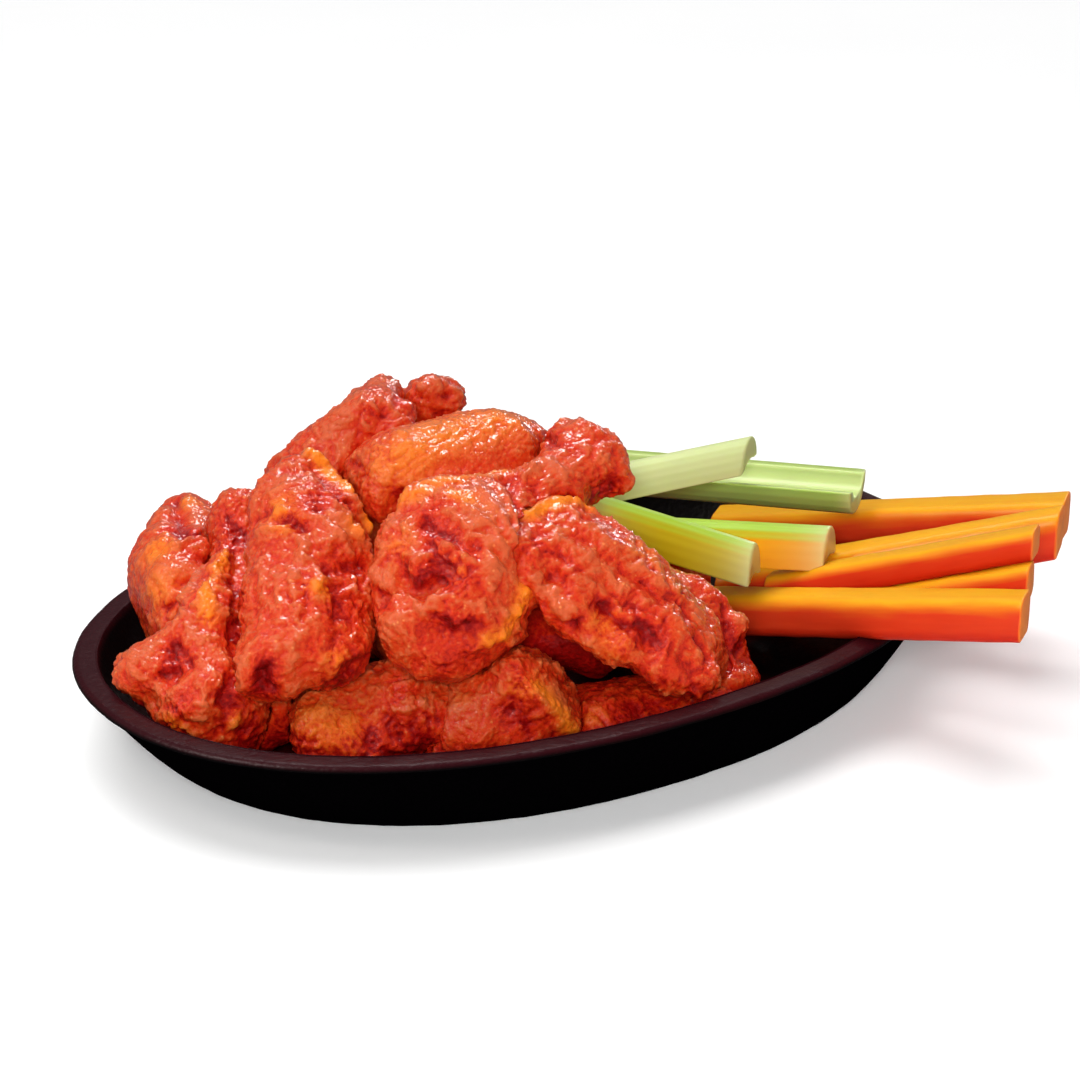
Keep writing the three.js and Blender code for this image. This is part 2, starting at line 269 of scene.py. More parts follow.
def seasoned_cast_iron():
    """Sand-cast iron under a baked oil skin: near black, with a fine pebbled grain. The rim is painted
    a
    lighter, slightly purple maroon: partly wear where the rim is handled, partly a painted sheen.
    Sauce has run over part of the floor."""
    material, tree = new_material("seasoned_cast_iron")
    place = add(tree, "TexCoord").outputs["Object"]
    rim = add(tree, "Attribute", attribute_name="rim").outputs["Fac"]
    sauced = add(tree, "Attribute", attribute_name="sauced").outputs["Fac"]
    sand = add(tree, "TexNoise", {"Vector": place, "Scale": per_metre(CASTING_SAND), "Detail": 4})
    cloud = add(tree, "TexNoise", {"Vector": place, "Scale": per_metre(OIL_SKIN_CLOUD), "Detail": 3})
    iron = add(
        tree,
        "Mix",
        {"Factor": cloud.outputs["Fac"], 6: linear("#030202"), 7: linear("#090506")},
        data_type="RGBA",
    )
    # The rim band's lighter maroon: partly wear, partly a painted sheen.
    worn_and_painted_sheen = add(tree, "Mix", {"Factor": rim, 6: iron.outputs[2], 7: linear("#2E0A10")}, data_type="RGBA")
    smeared = add(
        tree, "Mix", {"Factor": sauced, 6: worn_and_painted_sheen.outputs[2], 7: linear("#3E0405")}, data_type="RGBA"
    )
    roughness = add(tree, "MapRange", {"Value": sand.outputs["Fac"], "To Min": 0.22, "To Max": 0.5})
    grain = add(tree, "Bump", {"Height": sand.outputs["Fac"], "Strength": 0.5, "Distance": 0.35 * MM})
    surface = add(tree, "BsdfPrincipled", {
        "Base Color": smeared.outputs[2],
        "Roughness": roughness.outputs[0],
        "Specular IOR Level": 0.08,
        "Normal": grain.outputs[0],
    })
    finish_material(tree, surface)
    return material


def sooted_cast_iron():
    """The outside of the platter, black from the fire: matt, with hardly any sheen."""
    material, tree = new_material("sooted_cast_iron")
    place = add(tree, "TexCoord").outputs["Object"]
    sand = add(tree, "TexNoise", {"Vector": place, "Scale": per_metre(CASTING_SAND), "Detail": 4})
    soot = add(
        tree,
        "Mix",
        {"Factor": sand.outputs["Fac"], 6: linear("#010101"), 7: linear("#030203")},
        data_type="RGBA",
    )
    grain = add(tree, "Bump", {"Height": sand.outputs["Fac"], "Strength": 0.5, "Distance": 0.35 * MM})
    surface = add(tree, "BsdfPrincipled", {
        "Base Color": soot.outputs[2],
        "Roughness": 0.6,
        "Specular IOR Level": 0.0,
        "Normal": grain.outputs[0],
    })
    finish_material(tree, surface)
    return material


def cut_carrot():
    """Raw carrot, peeled and cut into batons: wet, translucent orange flesh. The colour is painted
    lighter and more yellow on faces that look up, and red-orange on the sides: painted light from
    above."""
    material, tree = new_material("cut_carrot")
    cut = add(tree, "Attribute", attribute_name="cut").outputs["Fac"]
    normal = add(tree, "NewGeometry").outputs["Normal"]
    up = add(tree, "SeparateXYZ", {"Vector": normal}).outputs["Z"]
    drawn_out = add(tree, "Attribute", attribute_name="along_piece").outputs["Vector"]
    fibre = add(tree, "TexNoise", {"Vector": drawn_out, "Scale": per_metre(CARROT_FIBRE), "Detail": 3})
    # Faces that look up are painted lighter and more yellow, and the sides redder: painted light from
    # above.
    painted_top_light = add(tree, "MapRange", {"Value": up, "From Min": -0.35, "From Max": 0.85, "To Max": 0.85})
    light = add(
        tree, "Math", {0: fibre.outputs["Fac"], 1: 0.3, 2: painted_top_light.outputs[0]}, operation="MULTIPLY_ADD"
    )
    flesh = add(
        tree,
        "ValToRGB",
        {"Fac": light.outputs[0]},
        stops=[(0.1, "#C4240E"), (0.45, "#DC3E1C"), (0.72, "#E67818"), (1.0, "#EEA818")],
    )
    cut_back = add(
        tree, "Mix", {"Factor": cut, 6: flesh.outputs["Color"], 7: linear("#F0802C")}, data_type="RGBA"
    )
    grain = add(tree, "Bump", {"Height": fibre.outputs["Fac"], "Strength": 0.25, "Distance": 0.4 * MM})
    surface = add(tree, "BsdfPrincipled", {
        "Base Color": cut_back.outputs[2],
        "Roughness": 0.4,
        "Specular IOR Level": 0.1,
        "Subsurface Weight": 0.3,
        "Subsurface Radius": (1.0, 0.4, 0.12),
        "Subsurface Scale": 3.0 * MM,
        "Coat Weight": 0.08,
        "Coat Roughness": 0.25,
        "Normal": grain.outputs[0],
    })
    finish_material(tree, surface)
    return material


def cut_celery():
    """Raw celery stalk: a waxy ribbed outside, green on the flanks and painted paler where it looks up,
    as painted light from above. The sides that don't look up are painted yellow, a painted
    reflection of the carrots below. The cut ends and the hollow show the white pith."""
    material, tree = new_material("cut_celery")
    pith = add(tree, "Attribute", attribute_name="pith").outputs["Fac"]
    yellow = add(tree, "Attribute", attribute_name="yellow").outputs["Fac"]
    normal = add(tree, "NewGeometry").outputs["Normal"]
    up = add(tree, "SeparateXYZ", {"Vector": normal}).outputs["Z"]
    drawn_out = add(tree, "Attribute", attribute_name="along_piece").outputs["Vector"]
    fibre = add(tree, "TexNoise", {"Vector": drawn_out, "Scale": per_metre(CELERY_FIBRE), "Detail": 2})
    # Faces that look up are painted paler: painted light from above.
    painted_top_light = add(tree, "MapRange", {"Value": up, "From Min": -0.6, "To Max": 0.85})
    share = add(
        tree, "Math", {0: fibre.outputs["Fac"], 1: 0.2, 2: painted_top_light.outputs[0]}, operation="MULTIPLY_ADD"
    )
    flesh = add(
        tree,
        "ValToRGB",
        {"Fac": share.outputs[0]},
        stops=[(0.1, "#669406"), (0.45, "#78AA10"), (0.75, "#94BE1C"), (1.0, "#B4D450")],
    )
    # Sides that don't look up are painted yellow: a painted reflection of the carrots below.
    shaded = add(tree, "MapRange", {"Value": up, "From Min": 0.92, "From Max": 0.55})
    shaded_yellow = add(tree, "Math", {0: shaded.outputs[0], 1: yellow}, operation="MULTIPLY")
    with_painted_carrot_glow = add(
        tree,
        "Mix",
        {"Factor": shaded_yellow.outputs[0], 6: flesh.outputs["Color"], 7: linear("#EC9C04")},
        data_type="RGBA",
    )
    paled = add(
        tree, "Mix", {"Factor": pith, 6: with_painted_carrot_glow.outputs[2], 7: linear("#E2E6B0")}, data_type="RGBA"
    )
    surface = add(tree, "BsdfPrincipled", {
        "Base Color": paled.outputs[2],
        "Roughness": 0.35,
        "Specular IOR Level": 0.15,
        "Subsurface Weight": 0.3,
        "Subsurface Radius": (0.6, 1.0, 0.3),
        "Subsurface Scale": 2.5 * MM,
        "Coat Weight": 0.15,
        "Coat Roughness": 0.2,
    })
    finish_material(tree, surface)
    return material


def studio_floor():
    """A painted board, matt and white, lit a little from below so that it stays white far off."""
    material, tree = new_material("studio_floor")
    place = add(tree, "TexCoord").outputs["Object"]
    mottle = add(tree, "TexNoise", {"Vector": place, "Scale": per_metre(BOARD_MOTTLE), "Detail": 2})
    paint = add(
        tree,
        "Mix",
        {"Factor": mottle.outputs["Fac"], 6: linear("#F1F1F1"), 7: linear("#F5F5F4")},
        data_type="RGBA",
    )
    surface = add(tree, "BsdfPrincipled", {
        "Base Color": paint.outputs[2],
        "Roughness": 0.9,
        "Specular IOR Level": 0.0,
        "Emission Color": linear("#FFFFFF"),
        "Emission Strength": 0.2,
    })
    finish_material(tree, surface)
    return material


# ---- Meshes ------------------------------------------------------------------------------------


def mesh_piece(name, points, faces, material):
    """A smooth shaded object from points in millimetres."""
    mesh = bpy.data.meshes.new(name)
    mesh.from_pydata((np.asarray(points) * MM).tolist(), [], faces)
    mesh.shade_smooth()
    mesh.materials.append(material)
    piece = bpy.data.objects.new(name, mesh)
    bpy.context.collection.objects.link(piece)
    return piece


def side_faces(count, sides):
    """The faces between that many rings of as many points as there are sides."""
    faces = []
    for r in range(count - 1):
        for s in range(sides):
            t = (s + 1) % sides
            faces.append((r * sides + s, r * sides + t, (r + 1) * sides + t, (r + 1) * sides + s))
    return faces


def loft(rings):
    """Points and faces of a closed surface through rings of points, each counterclockwise seen
    from the next one. The end rings are closed by a fan."""
    rings = np.asarray(rings, float)
    count, sides, _ = rings.shape
    points = rings.reshape(-1, 3).tolist()
    faces = side_faces(count, sides)
    first = len(points)
    points += [rings[0].mean(0).tolist(), rings[-1].mean(0).tolist()]
    top = (count - 1) * sides
    for s in range(sides):
        t = (s + 1) % sides
        faces.append((first, t, s))
        faces.append((first + 1, top + s, top + t))
    return np.array(points), faces


def give(piece, name, values):
    """Stores a number or a vector for each vertex, for the piece's material."""
    values = np.asarray(values, np.float32)
    kind = "FLOAT" if values.ndim == 1 else "FLOAT_VECTOR"
    attribute = piece.data.attributes.new(name, kind, "POINT")
    attribute.data.foreach_set("value" if values.ndim == 1 else "vector", values.ravel())


def vertices(mesh):
    """The mesh's points in millimetres, one in each row."""
    found = np.empty(len(mesh.vertices) * 3, np.float32)
    mesh.vertices.foreach_get("co", found)
    return found.reshape(-1, 3) / MM


def normals(mesh):
    found = np.empty(len(mesh.vertices) * 3, np.float32)
    mesh.vertex_normals.foreach_get("vector", found)
    return found.reshape(-1, 3)


def move_vertices(mesh, points):
    mesh.vertices.foreach_set("co", (points * MM).astype(np.float32).ravel())
    mesh.update()


def axes_of(start, end, roll=0):
    """The frame of a long piece: its middle, its span, and its axes as rows. X runs from its start
    to its end, Z is as near up as that allows, and both are then rolled about X by degrees."""
    start, end = np.array(start, float), np.array(end, float)
    span = np.linalg.norm(end - start)
    x = (end - start) / span
    y = np.cross((0, 0, 1), x)
    y /= np.linalg.norm(y)
    z = np.cross(x, y)
    c, s = math.cos(math.radians(roll)), math.sin(math.radians(roll))
    return (start + end) / 2, span, np.array([x, c * y + s * z, c * z - s * y])


def place_piece(piece, slot, *nodes):
    """Fixes the piece to the part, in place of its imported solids."""
    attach(piece, "root")
    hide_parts(*nodes)


# ---- Noise, seeded and the same each run -------------------------------------------------------


def swell(points, size, seed):
    """Smooth noise from about -1 to 1, with features of that size in millimetres."""
    random = np.random.default_rng(seed)
    shuffle = random.permutation(256)
    slopes = random.normal(size=(256, 3))
    slopes /= np.linalg.norm(slopes, axis=1, keepdims=True)
    scaled = points / size + random.uniform(0, 50, 3)
    cell = np.floor(scaled).astype(int)
    part = scaled - cell
    fade = part**3 * (part * (part * 6 - 15) + 10)
    total = np.zeros(len(points))
    for corner in np.ndindex(2, 2, 2):
        x, y, z = (cell + corner).T
        pick = shuffle[(shuffle[(shuffle[x & 255] + y) & 255] + z) & 255]
        weight = np.prod(np.where(corner, fade, 1 - fade), axis=1)
        total += weight * ((part - corner) * slopes[pick]).sum(1)
    return total * 1.7


def puffs(points, size, seed):
    """Rounded cushions with narrow creases between them, from -1 in the creases to about 1."""
    return 2.2 * np.sqrt(swell(points, size, seed) ** 2 + 0.008) - 1


def drift(points, size, reach, seed):
    """The points, each moved by noise, so that a pattern on them loses its grid."""
    return points + reach * np.stack([swell(points, size, seed + k) for k in range(3)], axis=1)


# ---- Platter -----------------------------------------------------------------------------------

PLATTER = {
    "length": 250,
    "width": 171,
    "height": 24,
    "floor": 5,
    "squareness": 2.15,  # of the oval: 2 is an ellipse
    "end_slope": 1.5,  # how much further the outside leans in at the ends than the profile says
    "side_slope": 0.75,
}
SEGMENTS = 256  # round the oval
PROFILE_STEPS = 5  # from one point of the profile to the next
FLOOR_RINGS = 30
SAUCE_REACH = 14  # how far the sauce has run over the floor from the wings


def oval(z, at_ends, at_sides):
    """A ring of points round the platter at that height, set in from its length and its width."""
    angle = np.linspace(0, 2 * math.pi, SEGMENTS, endpoint=False)
    power = 2 / PLATTER["squareness"]
    x = np.sign(np.cos(angle)) * np.abs(np.cos(angle)) ** power
    y = np.sign(np.sin(angle)) * np.abs(np.sin(angle)) ** power
    half = PLATTER["length"] / 2 - at_ends, PLATTER["width"] / 2 - at_sides
    return np.stack([x * half[0], y * half[1], np.full_like(x, z)], axis=1)


def smooth_line(points, steps):
    """A curve through the points, with that many steps between two of them."""
    p = np.array(points, float)
    p = np.vstack([2 * p[0] - p[1], p, 2 * p[-1] - p[-2]])
    t = np.linspace(0, 1, steps, endpoint=False)[:, None]
    found = []
    for a, b, c, d in zip(p, p[1:], p[2:], p[3:]):
        square = 2 * a - 5 * b + 4 * c - d
        cube = 3 * b - a - 3 * c + d
        found.append(0.5 * (2 * b + (c - a) * t + square * t**2 + cube * t**3))
    return np.vstack([*found, p[-2:-1]])


def platter_profile():
    """The platter's section from its foot to the edge of its floor, in rows of how far it is set in
    at the ends, how far at the sides, and its height. Also how many of its points are outside."""
    height, floor = PLATTER["height"], PLATTER["floor"]
    outside = [[16, 0], [12.5, 2], [7.5, height * 0.4], [2.6, height * 0.79], [0.5, height - 2.4]]
    rim = [[0, height - 1.5], [0.25, height - 0.75], [1.0, height - 0.2], [2.0, height]]
    band = [[5.2, height], [6.0, height - 0.15], [6.6, height - 0.6]]
    inside = [[10.5, height * 0.62], [14.5, height * 0.36], [19, floor + 0.8], [26, floor]]
    profile = [[i * PLATTER["end_slope"], i * PLATTER["side_slope"], z] for i, z in outside]
    profile += [[i, i, z] for i, z in rim + band + inside]
    return smooth_line(profile, PROFILE_STEPS), PROFILE_STEPS * len(outside) + 1


def make_platter(handled, sooted, wing_points):
    """Casts the platter: the first material inside and on the rim, and the second outside."""
    profile, outer_rings = platter_profile()
    rings = [oval(z, ends, sides) for ends, sides, z in profile]
    floor_edge = rings[-1]
    for share in np.linspace(1, 0.02, FLOOR_RINGS)[1:]:
        rings.append(floor_edge * (share, share, 1))
    points, faces = loft(rings)
    platter = mesh_piece("platter_cast", points, faces, handled)
    platter.data.materials.append(sooted)
    foot_centre = len(points) - 2
    for face in platter.data.polygons:
        if max(face.vertices) < outer_rings * SEGMENTS or foot_centre in face.vertices:
            face.material_index = 1

    # The cast skin is slightly uneven, except under the foot.
    place = vertices(platter.data)
    wave = 0.12 * swell(place, 9, 61) + 0.08 * swell(place, 3.5, 62)
    wave[place[:, 2] < 0.6] = 0
    move_vertices(platter.data, place + normals(platter.data) * wave[:, None])

    height, floor = PLATTER["height"], PLATTER["floor"]
    give(platter, "rim", np.interp(place[:, 2], [height - 1.2, height - 0.4], [0, 1]))
    run = SAUCE_REACH * (1 + 0.6 * swell(place, 16, 63))
    low = np.interp(place[:, 2], [floor + 1, floor + 9], [1, 0.2])
    sauced = np.clip(1.4 - nearest(place, wing_points) / run, 0, 1) * low
    give(platter, "sauced", sauced * (place[:, 2] > floor - 0.5))
    place_piece(platter, "cast_iron", "platter")


def nearest(points, others):
    """How far each point is from the nearest of the others, in steps small enough for memory."""
    found = np.empty(len(points))
    for i in range(0, len(points), 2000):
        gap = points[i : i + 2000, None, :] - others[None]
        found[i : i + 2000] = np.sqrt((gap**2).sum(2).min(1))
    return found


# ---- Wings -------------------------------------------------------------------------------------

# From the front of the heap to the back. Start and end are the ends of the bone, and roll turns the
# wing about it by degrees. Crag is how rough the crust is, wrinkle how much the skin has drawn
# together across the bone, and waver how unsteady the narrow strokes are. The entry that darkens a
# wing is painted shade: the sauce is painted darker, and less butter shows, on a wing that lies in
# shade. Fine is the mesh's step on wings that hardly show.
WINGS = [
    {"name": "front_left", "start": (-82, -24, 34), "end": (-56, 16, 61), "crag": 0.9, "wrinkle": 0.8},
    {
        "name": "front_right", "start": (-21, -31, 55), "end": (6, -66, 27),
        "roll": -10, "crag": 0.8, "wrinkle": 1, "waver": 1.6,
    },
    {"name": "front_middle", "start": (-49, -35, 44), "end": (5, -18, 68), "crag": 0.9},
    {"name": "left_leaning", "start": (-98, -7, 22), "end": (-66, 36, 46), "crag": 1.1},
    {"name": "left_back", "start": (-84, 29, 28), "end": (-69, 58, 38), "crag": 0.6},
    {"name": "top", "start": (-38, 9, 61.5), "end": (-2, 3, 65.5), "crag": 0.65, "wrinkle": 0.1},
    {"name": "top_left", "start": (-48, 34, 53), "end": (-23, 33, 70.5), "crag": 0.8, "wrinkle": 0.5},
    {"name": "top_back", "start": (-23, 48, 42), "end": (-7, 36.5, 70), "crag": 0.9},
    {"name": "right", "start": (13, -40, 31), "end": (19, -60, 15), "crag": 0.8, "depth": 0.05},
    {"name": "low_left", "start": (-76, -23, 15), "end": (-48, -33, 18), "crag": 1},
    {"name": "low_middle", "start": (-42, -45, 16), "end": (-28, -50, 17), "crag": 1},
    {"name": "low_right", "start": (-19, -50, 9), "end": (17, -63, 11), "crag": 0.8, "depth": 0.12},
    {
        "name": "inner_right", "start": (-14, -36, 25), "end": (0, -9, 37),
        "crag": 0.3, "depth": 0.4, "fine": 0.7,
    },
    {"name": "inner_left", "start": (-81, -12, 15), "end": (-60, 17, 31), "crag": 0.7},
    {"name": "under_back", "start": (-52, 44, 22), "end": (-8, 40, 22), "crag": 0.8, "fine": 0.75},
    {"name": "under_middle", "start": (-40, 4, 20), "end": (4, 12, 20), "crag": 0.6, "fine": 1.2},
    {"name": "second_back", "start": (-44, 26, 42), "end": (-2, 22, 44), "crag": 0.7, "fine": 0.9},
    {"name": "under_right", "start": (14, 10, 20), "end": (50, 0, 18), "crag": 0.8, "fine": 0.75},
    {"name": "back_right", "start": (10, 42, 20), "end": (52, 36, 18), "crag": 0.8, "fine": 0.7},
]

# What lifts or sinks each wing's skin, in rows of (lift, reach, points): the skin moves by that lift
# on a line through the points, and by less and less out to about twice the reach.
STROKES = {
    "front_left": [
        (1.9, 1.7, [(-54, 19, 70), (-50, 13, 66), (-50, 5, 64), (-50, -1, 61), (-48, -3, 57)]),
        (-1.4, 2.2, [(-55, 14, 67), (-57, 2, 66), (-55, -1, 63)]),
        (1, 1.2, [(-54, 0, 65), (-56, -4, 61), (-61, -8, 59)]),
        (-2.6, 4.5, [(-48, 2, 64), (-47, -1, 61)]),
        (1.6, 5, [(-64, -9, 58), (-60, -11, 56), (-56, -13, 52)]),
        (0.9, 1.1, [(-65, -5, 62), (-64, -8, 59), (-62, -12, 55)]),
        (0.9, 1.1, [(-62, -4, 63), (-60, -7, 59), (-58, -10, 55)]),
        (0.9, 1.1, [(-59, -3, 64), (-56, -5, 59), (-52, -7, 54)]),
        (-2.4, 4, [(-70, -33, 33), (-75, -36, 32), (-77, -32, 29)]),
        (1.1, 1.5, [(-61, -6, 61)]),
        (1.3, 1.6, [(-59, -9, 57)]),
        (1.2, 1.5, [(-56, -11, 54)]),
        (1, 1.4, [(-52, -8, 50)]),
        (1, 1.6, [(-67, -10, 57)]),
        (-2.2, 1.9, [(-73, 2, 61), (-71, -2, 61), (-70, -5, 60)]),
        (1.4, 1.9, [(-76, 4, 58), (-73, 0, 60), (-71, -6, 59), (-74, -12, 56)]),
        (-1.3, 2, [(-62, 2, 66), (-63, -2, 64)]),
        (0.4, 1.6, [(-81, -3, 54), (-86, -13, 48), (-93, -22, 43)]),
        (0.4, 1.6, [(-81, -9, 53), (-85, -20, 48), (-91, -26, 41)]),
        (0.5, 1.7, [(-79, -15, 54), (-84, -25, 47), (-89, -30, 36)]),
        (0.5, 1.9, [(-73, -17, 54), (-78, -23, 50), (-84, -29, 43)]),
        (-1.3, 1.5, [(-77, -17, 54), (-80, -24, 49), (-84, -26, 46)]),
        (2, 3.2, [(-96, -22, 38), (-98, -23, 33)]),
        (-3.6, 2.3, [(-95, -27, 37), (-94, -27, 31)]),
        (1.8, 3.5, [(-88, -28, 31)]),
        (-1, 6, [(-70, -26, 46), (-75, -34, 39)]),
        (0.9, 3, [(-78, -34, 38)]),
        (-1, 1.7, [(-79, -33, 40), (-75, -30, 43), (-71, -24, 49)]),
        (-1.1, 1.5, [(-70, -17, 53), (-63, -16, 53), (-58, -15, 50)]),
        (1, 3, [(-68, 19, 65)]),
        (-1.4, 1.6, [(-75, 12, 58), (-73, 8, 61)]),
    ],
    "front_right": [
        (1.4, 1.9, [(-24, -37, 66), (-17, -33, 65), (-10, -35, 64), (-5, -36, 62)]),
        (0.9, 2, [(-4, -39, 61), (-1, -45, 57), (3, -51, 53)]),
        (-1.8, 2.6, [(-27, -51, 54), (-26, -55, 53)]),
        (-1.3, 3, [(-25, -42, 63)]),
        (1.3, 2, [(-30, -51, 53), (-29, -55, 49), (-27, -59, 46)]),
        (-2.6, 2, [(-26, -59, 44)]),
        (2, 3.2, [(-23, -58, 41), (-22, -61, 39)]),
        (0.6, 1.5, [(-21, -46, 60), (-15, -54, 54), (-8, -61, 47), (-1, -69, 42)]),
        (0.6, 1.5, [(-14, -43, 63), (-7, -52, 56), (-1, -60, 50), (9, -65, 40)]),
        (0.7, 1.6, [(-25, -51, 56), (-17, -58, 50), (-11, -65, 44)]),
        (-0.7, 1.3, [(-18, -44, 62), (-11, -54, 55), (-4, -61, 48), (4, -67, 41)]),
        (-0.7, 1.3, [(-24, -48, 58), (-18, -56, 52), (-9, -64, 46), (-4, -69, 42)]),
        (-1.7, 2, [(-18, -59, 47), (-15, -65, 43), (-11, -69, 42)]),
        (-2.8, 3.5, [(-10, -70, 39), (-7, -75, 38), (-3, -76, 35)]),
        (1.7, 3, [(4, -76, 30), (6, -75, 23)]),
        (-1.5, 1.6, [(3, -72, 37), (3, -75, 32)]),
        (1.5, 4, [(-17, -59, 32), (-16, -67, 36)]),
    ],
    "front_middle": [
        (1.1, 2.4, [(-47, -18, 67), (-42, -18, 70), (-36, -22, 72), (-21, -20, 69)]),
        (1.3, 5, [(-61, -25, 54), (-58, -22, 58), (-51, -18, 63), (-46, -18, 67)]),
        (1.3, 2.2, [(-61, -24, 53), (-63, -33, 52)]),
        (-1.7, 2, [(-49, -29, 65), (-47, -36, 64), (-43, -43, 62)]),
        (0.9, 1.2, [(-43, -31, 68), (-42, -38, 65), (-41, -45, 59)]),
        (0.9, 1.2, [(-40, -32, 69), (-38, -39, 66), (-37, -46, 60)]),
        (1.3, 1.5, [(-49, -38, 62), (-46, -44, 61), (-40, -48, 57)]),
        (-1.4, 1.2, [(-51, -39, 61), (-47, -41, 62), (-44, -45, 60)]),
        (-1.5, 1.6, [(-51, -33, 63), (-53, -38, 60), (-52, -42, 58)]),
        (2.4, 3.2, [(-56, -35, 58)]),
        (-4.6, 2.7, [(-60, -33, 55), (-59, -39, 54), (-54, -42, 57)]),
        (-2.6, 2.4, [(-63, -29, 50), (-63, -33, 51)]),
        (-3, 3.4, [(-64, -31, 50)]),
        (1, 1.1, [(-60, -39, 53), (-60, -43, 50)]),
        (1, 1.1, [(-58, -43, 53), (-60, -45, 49)]),
        (2.4, 6, [(-64, -39, 45)]),
        (1.2, 4, [(-63, -37, 36)]),
        (0.7, 1.8, [(-57, -44, 53), (-51, -48, 53), (-46, -52, 49)]),
        (-3.4, 2.8, [(-58, -48, 46), (-55, -51, 44), (-51, -52, 46)]),
        (-2, 3, [(-58, -49, 40), (-60, -47, 44)]),
        (-1.6, 2.6, [(-54, -52, 38), (-49, -52, 36)]),
        (1.6, 2.5, [(-60, -44, 33)]),
        (-1.6, 2, [(-57, -48, 35)]),
        (1.3, 1.6, [(-47, -52, 42)]),
        (1.4, 1.5, [(-42, -52, 42)]),
        (1, 1.4, [(-41, -50, 47)]),
        (1.3, 1.5, [(-37, -51, 47)]),
        (1.2, 1.5, [(-34, -50, 51)]),
        (1.3, 2.2, [(-42, -45, 59), (-43, -49, 54)]),
        (1, 1.3, [(-33, -29, 70), (-33, -38, 67), (-34, -45, 62)]),
        (1, 1.3, [(-28, -27, 70), (-29, -37, 67), (-32, -46, 61)]),
        (-1.4, 1.5, [(-23, -25, 70), (-27, -37, 66), (-31, -47, 60)]),
        (1.2, 2.4, [(4, -11, 75)]),
        (1.4, 2.4, [(6, -17, 77)]),
        (1, 2.4, [(7, -22, 76)]),
        (2.2, 3.2, [(11, -30, 62)]),
        (-3.2, 3.4, [(1, -32, 62), (4, -32, 62)]),
        (-1.5, 1.7, [(0, -7, 70), (-4, -19, 74)]),
        (1, 1.5, [(-18, -27, 70), (-11, -22, 71), (-9, -26, 71), (-9, -30, 69)]),
        (-1.3, 1.8, [(-18, -28, 69), (-18, -32, 67)]),
    ],
    "left_leaning": [
        (1.2, 5, [(-67, 35, 55)]),
        (-1, 2.5, [(-68, 30, 53)]),
        (-1.8, 1.7, [(-73, 32, 52), (-73, 26, 51)]),
        (-2.6, 2.6, [(-73, 23, 50), (-81, 10, 45), (-89, -4, 40), (-92, -11, 36)]),
        (1.3, 2.4, [(-81, 18, 48), (-88, 10, 46), (-94, 2, 45), (-96, -2, 42)]),
        (0.9, 2, [(-87, 25, 47), (-96, 10, 42), (-102, -4, 38)]),
        (2.4, 6, [(-113, 4, 31), (-114, 11, 27)]),
        (-2.4, 1.9, [(-106, -2, 36), (-108, -7, 32), (-110, -5, 31)]),
        (-1.6, 1.5, [(-104, -1, 37), (-105, -6, 36), (-105, -9, 34)]),
        (1.5, 3, [(-111, -3, 27), (-110, -11, 28)]),
        (1.8, 2.6, [(-112, -4, 20), (-111, -15, 24), (-108, -19, 26)]),
        (-2.8, 2.4, [(-113, 4, 20)]),
        (1.3, 6, [(-104, -16, 32)]),
        (1.5, 2.2, [(-100, -22, 23)]),
        (-2.2, 2.3, [(-102, -20, 28), (-98, -18, 32)]),
    ],
    "left_back": [
        (-2, 1.8, [(-72, 62, 46), (-76, 51, 45), (-81, 37, 48)]),
        (-1.6, 1.6, [(-83, 45, 47), (-81, 38, 48), (-75, 38, 46)]),
        (1.4, 4, [(-77, 57, 46)]),
        (1.6, 5, [(-70, 57, 46), (-70, 52, 44)]),
        (1.5, 7, [(-93, 32, 40)]),
        (-1.8, 3, [(-82, 28, 44), (-79, 28, 43)]),
        (-1.3, 1.5, [(-91, 24, 39), (-88, 24, 41)]),
        (-1.3, 1.5, [(-96, 22, 35), (-94, 20, 37)]),
        (1, 1.8, [(-86, 34, 46), (-81, 35, 47)]),
    ],
    "top": [
        (0.5, 5, [(-36, 5, 73), (-23, 6, 75), (-9, 3, 76)]),
        (-2.6, 3, [(-41, -3, 61)]),
        (1, 2.5, [(-5, -4, 74), (-5, -9, 71)]),
        (-0.9, 2.5, [(-34, -5, 68), (-23, -8, 69), (-16, -12, 67)]),
    ],
    "top_left": [
        (0.8, 3.5, [(-30, 38, 77)]),
        (0.9, 4, [(-20, 38, 78)]),
        (-1.4, 2.4, [(-16, 33, 74), (-30, 21, 73), (-37, 22, 67)]),
        (0.8, 4.5, [(-38, 31, 72), (-28, 28, 76)]),
        (0.9, 4, [(-45, 41, 66), (-41, 36, 69)]),
    ],
    "top_back": [
        (1, 4, [(-9, 32, 76)]),
        (-1.2, 1.8, [(-6, 28, 73)]),
        (1.2, 3, [(-4, 27, 70)]),
        (-0.9, 1.7, [(-13, 36, 74), (-12, 30, 72), (-10, 28, 68)]),
    ],
    "right": [
        (1.2, 4, [(24, -47, 39), (25, -51, 34)]),
        (1.8, 4, [(27, -58, 30)]),
        (-3.6, 3.5, [(25, -64, 25)]),
        (-2, 1.8, [(23, -55, 33), (21, -62, 28), (18, -65, 23)]),
        (0.9, 4, [(23, -68, 19)]),
    ],
    "low_left": [
        (1, 5, [(-87, -30, 19)]),
        (0.9, 5, [(-82, -34, 20), (-78, -37, 19)]),
        (-0.8, 2, [(-71, -33, 23), (-71, -37, 20), (-73, -39, 17)]),
        (0.9, 4, [(-65, -39, 24), (-62, -40, 25)]),
        (-1, 4, [(-70, -42, 17), (-66, -42, 16)]),
    ],
    "low_middle": [
        (2.3, 3, [(-41, -52, 33), (-38, -58, 28), (-34, -61, 23), (-28, -61, 16)]),
        (1.2, 4, [(-35, -51, 34)]),
        (1.5, 4, [(-58, -46, 16), (-56, -40, 10)]),
        (-0.8, 1.9, [(-38, -54, 31), (-41, -58, 27), (-45, -58, 22)]),
